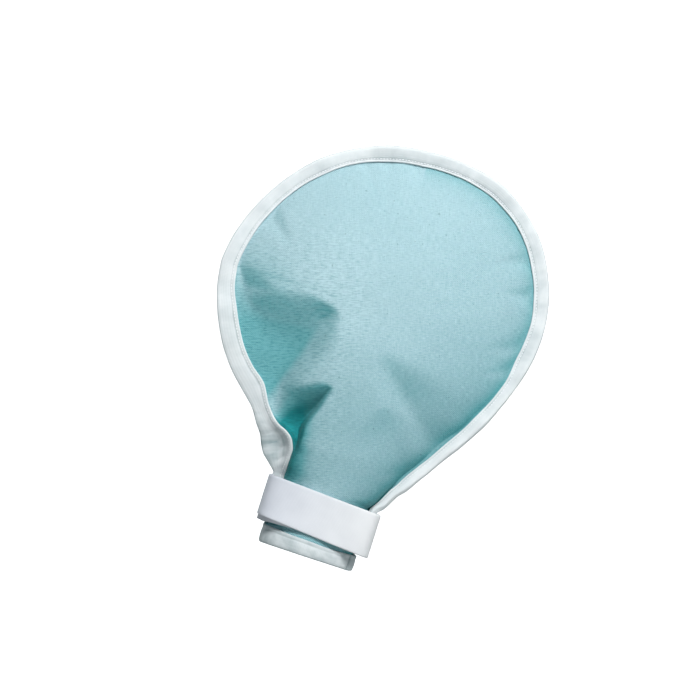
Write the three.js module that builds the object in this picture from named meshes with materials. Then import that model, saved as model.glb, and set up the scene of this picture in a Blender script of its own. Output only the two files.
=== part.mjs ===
// Hand mitt: two woven panels joined in a taped edge, a taped cuff and a wrist strap.
// Millimetres. +Z runs from the wrist to the fingertips and the front panel faces -Y.
import * as THREE from 'three';

// Driving sizes
const PANEL_WALL = 1.0;
const TAPE_WALL = 1.0;
const STRAP_WALL = 2.0;
const GAP = 0.3;
const BULB_X = -3;
const BULB_Z = 181;
const TAPE_WIDTH = 10.5;
const TURN_IN = 2.0;
const HAIRPIN = 8.0;
const CUFF_HEIGHT = 13;
const CUFF_STEPS = 22;
const STRAP_HEIGHT = 30.5;
const STRAP_MIDDLE_X = 1.2;
const STRAP_MIDDLE_Z = 32.6;
const STRAP_SLOPE = -0.059;
const STRAP_BACK_DROP = 3.0;
const STRAP_HALF_WIDTH = 40.0;
const STRAP_FRONT = 23.4;
const STRAP_BACK = 23.4;
const STRAP_SQUARENESS = 3.0;
const STRAP_START = 100;
const STRAP_SWEEP = 405;
const STRAP_STEPS = 72;
const COLUMNS = 22;
const TOP_ROWS = 9;
const ROW_PITCH = 10;
const FOLD_STEPS = 60;
const ROOM_USED = 0.66;
const CREASE_AT = 0.47;

const TEAL = 0x74bcc4;
const TAPE_WHITE = 0xe9ecef;
const STRAP_WHITE = 0xe4e6ec;

function table(columns, rows) {
  return rows.map((row) => Object.fromEntries(columns.map((name, i) => [name, row[i]])));
}

// One row per section, from the cuff up to the widest line: the seam point, the tape's outer
// fold, and how deep a crease runs along the tape.
const EDGE = ['x', 'y', 'z', 'outX', 'outY', 'outZ', 'crease'];
const LEFT_EDGE = table(EDGE, [
  [-32.0, 0, 1.3, -32.8, 0, 1.3, 0],
  [-32.0, 0, 13.6, -32.8, 0, 13.6, 0],
  [-30.0, 0, 15.2, -36.5, 1, 15.2, 0],
  [-30.0, 0, 22, -38.2, 0, 22, 0],
  [-30.0, 0, 34, -38.3, 0, 34, 0],
  [-30.0, 0, 44.5, -38.3, 0, 44.5, 0],
  [-30.0, -1, 50, -38.5, -1, 50, 0.5],
  [-29.5, -7, 60, -43, -2, 55.5, 2],
  [-29.0, -10, 69, -49, -2, 61, 4],
  [-31.0, -11, 76, -52.5, -2, 67, 5],
  [-36.0, -9, 81.5, -55, -1, 73, 4],
  [-45.0, -6, 85.6, -60, 0, 80, 2.5],
  [-54.6, -3, 95.1, -66, 0, 89.3, 1],
  [-65.0, -1, 106.8, -77, 0, 100, 0],
  [-76.0, 0, 115.5, -87, 0, 110, 0],
  [-88.0, 0, 130, -98.5, 0, 125.5, 0],
  [-98.5, 0, 150, -109, 0, 147, 0],
  [-104.7, 0, 167, -114.8, 0, 165.5, 0],
  [-106.5, 0, 181, -117, 0, 181, 0],
]);
const RIGHT_EDGE = table(EDGE, [
  [32.0, 0, 1.3, 32.8, 0, 1.3, 0],
  [32.0, 0, 13.6, 32.8, 0, 13.6, 0],
  [34.0, 0, 15.2, 37, -2.5, 15.2, 0],
  [35.0, 0, 22, 38, -3.5, 22, 0],
  [35.6, 0, 34, 38.2, -3.5, 34, 0],
  [36.0, 0, 44.5, 38.4, -3.5, 44.5, 0],
  [39.5, 0, 51, 43.6, -3.5, 50, 0],
  [45.0, 0, 62, 50, -3.5, 61, 0],
  [48.3, 0, 67, 53.7, -3.5, 65.2, 0],
  [50.8, 0, 72, 57, -3.5, 70, 0],
  [53.8, 0, 78, 60.2, -3.5, 74.6, 0],
  [58.2, 0, 85, 64.5, -3.5, 80.7, 0],
  [63.4, 0, 92.5, 69.6, -3.5, 89.2, 0],
  [68.6, 0, 101, 75.2, -3.5, 98, 0],
  [75.0, 0, 111, 81.7, -3.5, 108, 0],
  [84.0, 0, 127, 91.2, -3.5, 124.2, 0],
  [93.8, 0, 149, 101.3, -3.5, 146.8, 0],
  [98.6, 0, 166, 107.5, -3.5, 164.8, 0],
  [100.5, 0, 181, 111, -3.5, 181, 0],
]);

// Outline of the round end: the angle from the top, the outer radius and how far the tape leans to the front
const ROUND_END = table(['angle', 'radius', 'lean'], [
  [-90, 114, 0],
  [-60, 111.3, 0],
  [-30, 113, 0],
  [0, 115.5, 0],
  [15, 119.2, 0],
  [30, 123, 0],
  [45, 123.6, -0.9],
  [60, 121.4, -1.8],
  [75, 118.4, -2.7],
  [90, 114, -3.5],
]);

// Depth of the two panels along the mitt; round 0.5 is a tube section, 1 a lens section, and a
// larger dome makes the middle of the section flatter
const DEPTH = table(['z', 'front', 'back', 'round', 'dome'], [
  [0, 22, 22, 0.5, 2],
  [44, 22, 22, 0.5, 2],
  [80, 23, 26.5, 0.58, 2],
  [110, 24, 31, 0.72, 2.1],
  [140, 24.5, 34, 0.9, 2.2],
  [160, 25, 36, 1, 2.3],
  [181, 25, 36, 1, 2.3],
]);

// The bulb is bent forward over the strap: how far each height is moved to the front
const BEND = table(['z', 'y'], [
  [0, 0],
  [46, 0],
  [60, -2],
  [80, -7],
  [110, -14],
  [135, -18.5],
  [155, -20],
  [181, -20],
  [300, -20],
]);

// Folds in the front panel. Each is a valley from its tip to its mouth: how far the cloth takes to
// fall into it on the right of that way and to rise on the left, its depth and how softly it begins.
const FOLD = ['x', 'z', 'right', 'left', 'depth', 'soft'];
const FOLDS = [
  table(FOLD, [
    [-29, 172, 5, 6, 0, 1],
    [-36, 163, 18, 11, 7, 1.1],
    [-42, 153, 42, 16, 13, 1.6],
    [-48, 142, 78, 19, 18, 2.1],
    [-55, 128, 96, 18, 22, 2.1],
    [-63, 108, 102, 12, 20, 2.1],
  ]),
  table(FOLD, [
    [-17, 121, 6, 5, 0, 1],
    [-20, 114, 12, 6, 7, 1],
    [-24, 103, 21, 8, 12, 1.2],
    [-30, 87, 26, 9, 13, 1.2],
    [-31, 73, 28, 9, 11, 1.2],
  ]),
  table(FOLD, [
    [8, 150, 6, 6, 0, 1.3],
    [28, 134, 10, 16, 2.5, 1.3],
    [48, 118, 13, 24, 4, 1.3],
    [72, 99, 14, 30, 4, 1.3],
  ]),
  table(FOLD, [
    [22, 114, 5, 5, 0, 1.3],
    [34, 99, 16, 10, 2.4, 1.3],
    [48, 80, 24, 13, 3.5, 1.3],
  ]),
];

function mix(a, b, f) {
  return a + (b - a) * f;
}

function catmull(a, b, c, d, f) {
  const bend = (2 * a - 5 * b + 4 * c - d) * f + (3 * b - a - 3 * c + d) * f * f;
  return b + 0.5 * f * (c - a + bend);
}

function alongRows(rows, key, t) {
  const i = Math.min(Math.floor(t), rows.length - 2);
  const f = t - i;
  if (f === 0) return rows[i][key];
  const a = rows[Math.max(i - 1, 0)][key];
  const d = rows[Math.min(i + 2, rows.length - 1)][key];
  return catmull(a, rows[i][key], rows[i + 1][key], d, f);
}

function lookUp(rows, key, at, name) {
  let i = 0;
  while (i < rows.length - 2 && at > rows[i + 1][key]) i += 1;
  const f = (at - rows[i][key]) / (rows[i + 1][key] - rows[i][key]);
  return alongRows(rows, name, i + THREE.MathUtils.clamp(f, 0, 1));
}

function edgeAt(rows, t) {
  const value = (name) => alongRows(rows, name, t);
  const seam = new THREE.Vector3(value('x'), value('y'), value('z'));
  const out = new THREE.Vector3(value('outX'), value('outY'), value('outZ'));
  return { seam, out, crease: value('crease') };
}

function roundEdge(angle) {
  const degrees = THREE.MathUtils.radToDeg(angle);
  const radius = lookUp(ROUND_END, 'angle', degrees, 'radius');
  const lean = lookUp(ROUND_END, 'angle', degrees, 'lean');
  const onCircle = (r, y) => new THREE.Vector3(
    BULB_X + r * Math.sin(angle), y, BULB_Z + r * Math.cos(angle));
  return { seam: onCircle(radius - TAPE_WIDTH, 0), out: onCircle(radius, lean), crease: 0 };
}

// Sections of the lower part, and rows of the round end mapped from a square to a disc
const sections = [];
for (let i = 0; i < LEFT_EDGE.length - 1; i += 1) {
  const a = edgeAt(LEFT_EDGE, i).seam;
  const steps = Math.max(1, Math.round(a.distanceTo(edgeAt(LEFT_EDGE, i + 1).seam) / ROW_PITCH));
  const count = i < 2 ? 1 : steps;
  for (let k = 0; k < count; k += 1) sections.push(i + k / count);
}
sections.push(LEFT_EDGE.length - 1);
const LOW = sections.length - 1;
const ROWS = LOW + TOP_ROWS;

function discPoint(u, v) {
  const x = u * Math.sqrt(1 - v * v / 2);
  const z = v * Math.sqrt(1 - u * u / 2);
  return { angle: Math.atan2(x, z), part: Math.min(Math.hypot(x, z), 1) };
}

function borderAt(row, column) {
  if (row > LOW) {
    return roundEdge(discPoint(column / COLUMNS * 2 - 1, (row - LOW) / TOP_ROWS).angle);
  }
  return edgeAt(column === 0 ? LEFT_EDGE : RIGHT_EDGE, sections[row]);
}

// The border path runs up the left edge, over the top and down the right edge
const border = [];
for (let row = 0; row <= ROWS; row += 1) border.push({ row, column: 0 });
for (let column = 1; column <= COLUMNS; column += 1) border.push({ row: ROWS, column });
for (let row = ROWS - 1; row >= 0; row -= 1) border.push({ row, column: COLUMNS });

for (const place of border) {
  const edge = borderAt(place.row, place.column);
  place.seam = edge.seam;
  place.width = edge.out.distanceTo(edge.seam);
  place.across = edge.out.clone().sub(edge.seam).normalize();
  place.crease = edge.crease;
  place.turnIn = Math.min(TURN_IN, 0.25 * place.width);
  place.clothEnd = Math.max(place.width - TAPE_WALL - GAP - 1, 0.6 * place.width);
}

// Middle surface of the flat edge; the part across runs from 0 at the seam to 1 at the fold
function creaseAt(part) {
  return part < CREASE_AT ? part / CREASE_AT : (1 - part) / (1 - CREASE_AT);
}

border.forEach((place, i) => {
  const before = border[Math.max(i - 1, 0)];
  const after = border[Math.min(i + 1, border.length - 1)];
  const along = after.seam.clone().sub(before.seam).normalize();
  place.flat = along.clone().cross(place.across).normalize();
  if (place.flat.y > 0) place.flat.negate();
});

function middle(place, part) {
  const point = place.seam.clone().addScaledVector(place.across, part * place.width);
  return point.addScaledVector(place.flat, -place.crease * Math.max(creaseAt(part), 0));
}

function faceAt(i, part) {
  const place = border[i];
  const before = border[Math.max(i - 1, 0)];
  const after = border[Math.min(i + 1, border.length - 1)];
  const along = middle(after, part).sub(middle(before, part));
  const low = Math.max(part - 0.3, 0);
  const high = Math.min(part + 0.3, 1);
  const across = middle(place, high).sub(middle(place, low));
  const face = along.cross(across).normalize();
  return face.y > 0 ? face.negate() : face;
}

function flangePoint(i, part, offset) {
  return middle(border[i], part).addScaledVector(faceAt(i, part), offset);
}

const valleys = FOLDS.map((rows) => {
  const at = (i) => i / FOLD_STEPS * (rows.length - 1);
  const steps = Array.from({ length: FOLD_STEPS + 1 }, (_, i) => Object.fromEntries(
    FOLD.map((name) => [name, alongRows(rows, name, at(i))])));
  steps.forEach((step, i) => {
    const before = steps[Math.max(i - 1, 0)];
    const after = steps[Math.min(i + 1, FOLD_STEPS)];
    step.aheadX = after.x - before.x;
    step.aheadZ = after.z - before.z;
  });
  return steps;
});

function foldDepth(x, z) {
  let sum = 0;
  for (const steps of valleys) {
    const away = (step) => Math.hypot(x - step.x, z - step.z);
    const near = steps.reduce((best, step) => (away(step) < away(best) ? step : best));
    const onRight = (x - near.x) * near.aheadZ - (z - near.z) * near.aheadX > 0;
    const wall = Math.max(1 - away(near) / (onRight ? near.right : near.left), 0);
    sum += near.depth * (onRight ? wall ** near.soft : THREE.MathUtils.smoothstep(wall, 0, 1));
  }
  return sum;
}

function bentForward(point) {
  point.y += lookUp(BEND, 'z', point.z, 'y');
  return point;
}

// A point of a panel's inner face; side is -1 for the front panel and 1 for the back panel
function bodyPoint(row, column, side) {
  const t = column / COLUMNS;
  const depthName = side < 0 ? 'front' : 'back';
  let part;
  let point;
  let round = 1;
  if (row > LOW) {
    const disc = discPoint(t * 2 - 1, (row - LOW) / TOP_ROWS);
    const degrees = THREE.MathUtils.radToDeg(disc.angle);
    const lean = lookUp(ROUND_END, 'angle', degrees, 'lean');
    const inset = TURN_IN + HAIRPIN * Math.max(side * lean / Math.hypot(lean, TAPE_WIDTH), 0);
    const reach = disc.part * (lookUp(ROUND_END, 'angle', degrees, 'radius') - TAPE_WIDTH - inset);
    part = disc.part;
    point = new THREE.Vector3(
      BULB_X + reach * Math.sin(disc.angle), 0, BULB_Z + reach * Math.cos(disc.angle));
  } else {
    const left = border[row];
    const right = border[border.length - 1 - row];
    const z = (left.seam.z + right.seam.z) / 2;
    round = lookUp(DEPTH, 'z', z, 'round');
    part = mix(-Math.cos(Math.PI * t), t * 2 - 1, (round - 0.5) / 0.5);
    const inset = (place) => place.turnIn + HAIRPIN * Math.max(side * place.across.y, 0);
    const inward = (place) => {
      const step = new THREE.Vector3(place.across.x, 0, place.across.z).normalize();
      return place.seam.clone().addScaledVector(step, -inset(place));
    };
    const share = (part + 1) / 2;
    const a = inward(left);
    const b = inward(right);
    point = a.clone().lerp(b, share);
    point.y = a.y * (1 - share) ** 4 + b.y * share ** 4;
  }
  const depthOf = (name) => lookUp(DEPTH, 'z', Math.min(point.z, BULB_Z), name);
  const swell = Math.max(1 - Math.abs(part) ** depthOf('dome'), 0) ** round;
  point.y += side * depthOf(depthName) * swell;
  if (side < 0) {
    const dent = foldDepth(point.x, point.z) * (1 - Math.abs(part) ** 6);
    const room = 0.01 + ROOM_USED * (depthOf('front') + depthOf('back')) * swell;
    point.y += dent * room / (dent ** 4 + room ** 4) ** 0.25;
  }
  return point;
}

function closedBody(points, faces) {
  const positions = [];
  for (const face of faces) {
    for (let k = 2; k < face.length; k += 1) {
      for (const index of [face[0], face[k - 1], face[k]]) {
        positions.push(points[index].x, points[index].y, points[index].z);
      }
    }
  }
  let volume = 0;
  for (let i = 0; i < positions.length; i += 9) {
    const [a, b, c] = [0, 3, 6].map((k) => new THREE.Vector3().fromArray(positions, i + k));
    volume += a.dot(b.cross(c));
  }
  if (volume < 0) {
    for (let i = 0; i < positions.length; i += 9) {
      for (let k = 0; k < 3; k += 1) {
        [positions[i + 3 + k], positions[i + 6 + k]] = [positions[i + 6 + k], positions[i + 3 + k]];
      }
    }
  }
  const geometry = new THREE.BufferGeometry();
  geometry.setAttribute('position', new THREE.Float32BufferAttribute(positions, 3));
  geometry.computeVertexNormals();
  return geometry;
}

function cornerNormals(points, faces) {
  const normals = points.map(() => new THREE.Vector3());
  for (const face of faces) {
    const a = points[face[2]].clone().sub(points[face[0]]);
    const b = points[face[3]].clone().sub(points[face[1]]);
    const normal = a.cross(b).normalize();
    for (const index of face) normals[index].add(normal);
  }
  return normals.map((normal) => normal.normalize());
}

// A cloth panel: a grid of body points and a strip of flat edge round it, given a wall
function makePanel(side) {
  const inner = [];
  const outer = [];
  const faces = [];
  const grid = (row, column) => row * (COLUMNS + 1) + column;
  for (let row = 0; row <= ROWS; row += 1) {
    for (let column = 0; column <= COLUMNS; column += 1) inner.push(bodyPoint(row, column, side));
  }
  for (let row = 0; row < ROWS; row += 1) {
    for (let column = 0; column < COLUMNS; column += 1) {
      faces.push([grid(row, column), grid(row, column + 1),
        grid(row + 1, column + 1), grid(row + 1, column)]);
    }
  }
  const gridCount = inner.length;
  const strip = border.map((place, i) => {
    const start = grid(place.row, place.column);
    inner[start] = place.seam.clone().addScaledVector(place.across, -place.turnIn);
    inner[start].addScaledVector(faceAt(i, 0), -side * GAP / 2);
    const parts = [0, CREASE_AT, place.clothEnd / place.width];
    const indices = parts.map((part) => inner.push(flangePoint(i, part, -side * GAP / 2)) - 1);
    return [start, ...indices];
  });
  for (let i = 0; i < border.length - 1; i += 1) {
    for (let k = 0; k < 3; k += 1) {
      faces.push([strip[i][k], strip[i + 1][k], strip[i + 1][k + 1], strip[i][k + 1]]);
    }
  }
  const normals = cornerNormals(inner, faces);
  inner.forEach((point, index) => {
    outer.push(point.clone().addScaledVector(normals[index], -side * PANEL_WALL));
  });
  border.forEach((place, i) => {
    const parts = [0, CREASE_AT, place.clothEnd / place.width];
    parts.forEach((part, k) => {
      outer[gridCount + i * 3 + k] = flangePoint(i, part, -side * (GAP / 2 + PANEL_WALL));
    });
  });
  return thicken(inner.map(bentForward), outer.map(bentForward), faces);
}

function thicken(inner, outer, faces) {
  const points = [...inner, ...outer];
  const shift = inner.length;
  const all = [];
  const edges = new Set();
  for (const face of faces) {
    all.push([...face].reverse());
    all.push(face.map((index) => index + shift));
    face.forEach((a, k) => edges.add(`${a},${face[(k + 1) % face.length]}`));
  }
  for (const key of edges) {
    const [a, b] = key.split(',').map(Number);
    if (!edges.has(`${b},${a}`)) all.push([a, b, b + shift, a + shift]);
  }
  return closedBody(points, all);
}

// A closed outline carried along a path of stations, with flat ends or joined into a ring
function sweep(stations, ring, turned = () => false) {
  const points = stations.flat();
  const count = stations[0].length;
  const faces = [];
  const last = ring ? stations.length : stations.length - 1;
  for (let i = 0; i < last; i += 1) {
    const next = (i + 1) % stations.length;
    for (let k = 0; k < count; k += 1) {
      const up = (k + 1) % count;
      const [a, b, c, d] = [i * count + k, next * count + k, next * count + up, i * count + up];
      faces.push(turned(k) ? [d, a, b, c] : [a, b, c, d]);
    }
  }
  if (!ring) {
    const half = count / 2;
    const end = (stations.length - 1) * count;
    for (let k = 0; k < half - 1; k += 1) {
      const [a, b, c, d] = [k, k + 1, count - 2 - k, count - 1 - k];
      faces.push([a, b, c, d]);
      faces.push([end + d, end + c, end + b, end + a]);
    }
  }
  return closedBody(points, faces);
}

// Tape folded over the edge: its outer outline, then its inner outline back again
function makeEdgeBinding() {
  const inside = GAP / 2 + PANEL_WALL + GAP;
  const outside = inside + TAPE_WALL;
  const stations = [];
  for (let i = 2; i < border.length - 2; i += 1) {
    const pocket = 1 - TAPE_WALL / border[i].width;
    const outline = [
      [0, outside], [CREASE_AT, outside], [0.9, outside], [1, 0.45 * outside],
      [1, -0.45 * outside], [0.9, -outside], [CREASE_AT, -outside], [0, -outside],
      [0, -inside], [CREASE_AT, -inside], [pocket - 0.04, -inside], [pocket, -0.4 * inside],
      [pocket, 0.4 * inside], [pocket - 0.04, inside], [CREASE_AT, inside], [0, inside],
    ];
    stations.push(outline.map(([part, offset]) => bentForward(flangePoint(i, part, offset))));
  }
  return sweep(stations, false, (k) => k > 10);
}

// Cuff tape: a folded ring round the lower ends of both panels
function makeCuffBinding() {
  const left = border[0].seam.x + border[0].turnIn;
  const right = border[border.length - 1].seam.x - border[border.length - 1].turnIn;
  const centre = (left + right) / 2;
  const half = (right - left) / 2;
  const steps = CUFF_STEPS * 2;
  const floor = TAPE_WALL;
  const outline = [
    [PANEL_WALL + GAP, CUFF_HEIGHT], [PANEL_WALL + GAP + TAPE_WALL, CUFF_HEIGHT],
    [PANEL_WALL + GAP + TAPE_WALL, 0.6], [PANEL_WALL + GAP, 0],
    [-GAP, 0], [-GAP - TAPE_WALL, 0.6], [-GAP - TAPE_WALL, CUFF_HEIGHT],
    [-GAP, CUFF_HEIGHT], [-GAP, floor], [PANEL_WALL + GAP, floor],
  ];
  const stations = [];
  for (let i = 0; i < steps; i += 1) {
    const angle = 2 * Math.PI * i / steps;
    const depth = Math.sin(angle) < 0 ? DEPTH[0].front : DEPTH[0].back;
    const onOval = new THREE.Vector2(centre + half * Math.cos(angle), depth * Math.sin(angle));
    const away = new THREE.Vector2(Math.cos(angle) / half, Math.sin(angle) / depth).normalize();
    stations.push(outline.map(([offset, z]) => new THREE.Vector3(
      onOval.x + away.x * offset, onOval.y + away.y * offset, z)));
  }
  return sweep(stations, true);
}

// Wrist strap: a flat band once round the neck, its end lapped over its start at the back
function makeWristStrap() {
  const stations = [];
  const squared = (value) => Math.sign(value) * Math.abs(value) ** (2 / STRAP_SQUARENESS);
  for (let i = 0; i <= STRAP_STEPS; i += 1) {
    const degrees = STRAP_START + STRAP_SWEEP * i / STRAP_STEPS;
    const angle = THREE.MathUtils.degToRad(degrees);
    const lap = THREE.MathUtils.smoothstep(degrees, STRAP_START + 300, STRAP_START + 352);
    const out = lap * (STRAP_WALL + GAP);
    const ring = (grow) => {
      const depth = (Math.sin(angle) < 0 ? STRAP_FRONT : STRAP_BACK) + grow;
      return new THREE.Vector2(
        STRAP_MIDDLE_X + (STRAP_HALF_WIDTH + grow) * squared(Math.cos(angle)),
        depth * squared(Math.sin(angle)));
    };
    const a = ring(out);
    const b = ring(out + STRAP_WALL);
    const back = (1 + squared(Math.sin(angle))) / 2;
    const middleZ = STRAP_MIDDLE_Z + STRAP_SLOPE * (a.x - STRAP_MIDDLE_X) - STRAP_BACK_DROP * back;
    const low = middleZ - STRAP_HEIGHT / 2;
    const high = middleZ + STRAP_HEIGHT / 2;
    stations.push([
      new THREE.Vector3(a.x, a.y, low), new THREE.Vector3(b.x, b.y, low),
      new THREE.Vector3(b.x, b.y, high), new THREE.Vector3(a.x, a.y, high)]);
  }
  return sweep(stations, false);
}

function piece(name, geometry, color, roughness) {
  const material = new THREE.MeshStandardMaterial({ color, roughness, metalness: 0 });
  material.name = `${name}_material`;
  const mesh = new THREE.Mesh(geometry, material);
  mesh.name = name;
  return mesh;
}

const mitt = new THREE.Group();
mitt.name = 'hand_mitt';
mitt.add(piece('front_panel', makePanel(-1), TEAL, 0.9));
mitt.add(piece('back_panel', makePanel(1), TEAL, 0.9));
mitt.add(piece('edge_binding', makeEdgeBinding(), TAPE_WHITE, 0.8));
mitt.add(piece('cuff_binding', makeCuffBinding(), TAPE_WHITE, 0.8));
mitt.add(piece('wrist_strap', makeWristStrap(), STRAP_WHITE, 0.7));

export default mitt;
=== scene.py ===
# %% [markdown]
# # A soft hand mitt
# The object is a balloon-shaped mitt of teal woven cloth. White tape is folded over its edge, a second
# piece of tape finishes the cuff, and a white strap closes the narrow neck.
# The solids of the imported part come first, because every piece below sits exactly where they are.

# %% Load the solids
import math

import bpy
import numpy as np
from mathutils import Matrix, Vector


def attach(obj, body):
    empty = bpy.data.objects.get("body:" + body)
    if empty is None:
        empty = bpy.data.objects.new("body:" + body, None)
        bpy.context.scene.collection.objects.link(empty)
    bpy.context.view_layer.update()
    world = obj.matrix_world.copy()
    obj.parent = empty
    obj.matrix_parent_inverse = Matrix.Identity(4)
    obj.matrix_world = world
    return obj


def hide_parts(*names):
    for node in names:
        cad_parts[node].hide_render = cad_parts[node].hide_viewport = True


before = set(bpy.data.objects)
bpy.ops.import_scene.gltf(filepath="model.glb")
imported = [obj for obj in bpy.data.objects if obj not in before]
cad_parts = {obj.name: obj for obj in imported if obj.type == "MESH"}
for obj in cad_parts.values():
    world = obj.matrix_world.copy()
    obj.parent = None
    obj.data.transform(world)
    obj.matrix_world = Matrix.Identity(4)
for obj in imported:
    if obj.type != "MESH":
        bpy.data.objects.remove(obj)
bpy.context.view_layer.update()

MM = 0.001
print("solids:", ", ".join(sorted(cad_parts)))

# %% [markdown]
# ## Camera
# The mitt stands upright in its own frame. In the picture it leans to the right, so the camera rolls
# the other way instead of the mitt: turning the mitt would take it out of the part's frame. A long lens
# from a fair distance keeps the outline flat.

# %% Camera
LENS = 100.0
SENSOR = 36.0
PICTURE_WIDTH = 490 * MM
ROLL = 17.5
aim_x, aim_y, aim_z = -12.7 * MM, -12 * MM, 148.7 * MM

camera_data = bpy.data.cameras.new("photo_camera")
camera_data.lens = LENS
camera_data.sensor_width = SENSOR
camera = bpy.data.objects.new("photo_camera", camera_data)
bpy.context.collection.objects.link(camera)
far = PICTURE_WIDTH * LENS / SENSOR
camera.matrix_world = (Matrix.Translation((aim_x, aim_y - far, aim_z))
                       @ Matrix.Rotation(math.radians(90), 4, "X")
                       @ Matrix.Rotation(math.radians(ROLL), 4, "Z"))
bpy.context.scene.camera = camera
print(f"camera {far:.2f} m in front of the mitt")

# %% [markdown]
# ## Shader arithmetic
# A node graph is easier to read as a formula. `Wire` wraps an output socket, and its operators add Math
# nodes. `Finish` makes one material, and its `node` method adds any other kind of node: settings such as
# an operation are set first, then the sockets get their values or links.

# %% Shader helpers
class Wire:
    def __init__(self, finish, socket):
        self.finish = finish
        self.socket = socket

    def math(self, operation, *values):
        sockets = dict(enumerate(values))
        return self.finish.node("ShaderNodeMath", {"operation": operation}, sockets)

    def __add__(self, other):
        return self.math("ADD", self, other)

    def __radd__(self, other):
        return self.math("ADD", other, self)

    def __sub__(self, other):
        return self.math("SUBTRACT", self, other)

    def __rsub__(self, other):
        return self.math("SUBTRACT", other, self)

    def __mul__(self, other):
        return self.math("MULTIPLY", self, other)

    def __rmul__(self, other):
        return self.math("MULTIPLY", other, self)

    def __truediv__(self, other):
        return self.math("DIVIDE", self, other)

    def __rtruediv__(self, other):
        return self.math("DIVIDE", other, self)

    def sine(self):
        return self.math("SINE", self)

    def clip(self):
        kept = self.math("MAXIMUM", self, 0.0)
        return kept.math("MINIMUM", kept, 1.0)


class Finish:
    def __init__(self, name):
        self.material = bpy.data.materials.new(name)
        self.material.use_nodes = True
        self.tree = self.material.node_tree
        self.shader = self.tree.nodes["Principled BSDF"]

    def node(self, kind, settings=None, sockets=None, output=0):
        made = self.tree.nodes.new(kind)
        for name, value in (settings or {}).items():
            setattr(made, name, value)
        self.feed(made, sockets or {})
        return Wire(self, made.outputs[output])

    def feed(self, node, sockets):
        for key, value in sockets.items():
            by_name = [s for s in node.inputs if key in (s.identifier, s.name)]
            socket = node.inputs[key] if isinstance(key, int) else by_name[0]
            if isinstance(value, Wire):
                self.tree.links.new(value.socket, socket)
            else:
                socket.default_value = value

    def blend(self, factor, low, high):
        sockets = {"Factor_Float": factor, "A_Color": low, "B_Color": high}
        return self.node("ShaderNodeMix", {"data_type": "RGBA"}, sockets, output=2)

    def tint(self, factor, tone, colour):
        settings = {"data_type": "RGBA", "blend_type": "MULTIPLY"}
        sockets = {"Factor_Float": factor, "A_Color": tone, "B_Color": colour}
        return self.node("ShaderNodeMix", settings, sockets, output=2)

    def stored(self, name):
        return self.node("ShaderNodeAttribute", {"attribute_name": name}, None, output=2)

    def flat_cut(self):
        return self.node("ShaderNodeUVMap", {"uv_map": "flat_cut"})

    def bump(self, height, strength, distance):
        sockets = {"Height": height, "Strength": strength, "Distance": distance}
        return self.node("ShaderNodeBump", None, sockets)

    def noise(self, vector, scale, detail=2.0, roughness=0.5):
        sockets = {"Vector": vector, "Scale": scale, "Detail": detail, "Roughness": roughness}
        return self.node("ShaderNodeTexNoise", {"noise_dimensions": "3D"}, sockets)

    def axes(self, vector):
        first = self.node("ShaderNodeSeparateXYZ", None, {"Vector": vector})
        return [Wire(self, output) for output in first.socket.node.outputs]

    def stretch(self, vector, scale, turn=(0, 0, 0)):
        sockets = {"Vector": vector, "Scale": scale, "Rotation": turn}
        return self.node("ShaderNodeMapping", {"vector_type": "POINT"}, sockets)


print("shader helpers ready")

# %% [markdown]
# ## Teal cloth
# The cloth is a plain weave whose threads are a little uneven, so it shows fine streaks that run across
# the picture. The UV map of each panel is its flat cut in metres, so one weave follows the whole panel.
# Thread height goes to a Bump node, and the streaks also lighten or darken the colour slightly. At the
# lower left the cloth is bunched, and there its threads stand out as ribs.
# Cloth that is tucked away or turned from the light is painted darker and greener. The mesh stores an
# amount of painted shade for each point, and two tints follow that value. An image of cloth could do all
# this too, but noise and sine waves stay sharp at any size.

# %% Teal cloth
THREAD = 0.75 * MM
GRAIN_TURN = math.radians(ROLL)
WEFT, WARP, RIB = (330, 1500, 1), (1500, 160, 1), (170, 1250, 1)
BUNCHED_FROM_X, BUNCHED_OVER_X = 12 * MM, 50 * MM
BUNCHED_FROM_Z, BUNCHED_OVER_Z = 240 * MM, 60 * MM
CLOTH_DARK, CLOTH_LIGHT = (0.280, 0.468, 0.522, 1), (0.484, 0.668, 0.718, 1)
SLUB_TONE, THIN_TONE = (0.62, 0.80, 0.83, 1), (0.10, 0.32, 0.37, 1)
FLECK_TONE = (0.12, 0.24, 0.27, 1)
PAINTED_SHADE_TINT, PAINTED_DEEP_SHADE_TINT = (0.31, 0.67, 0.67, 1), (0.06, 0.56, 0.55, 1)


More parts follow.
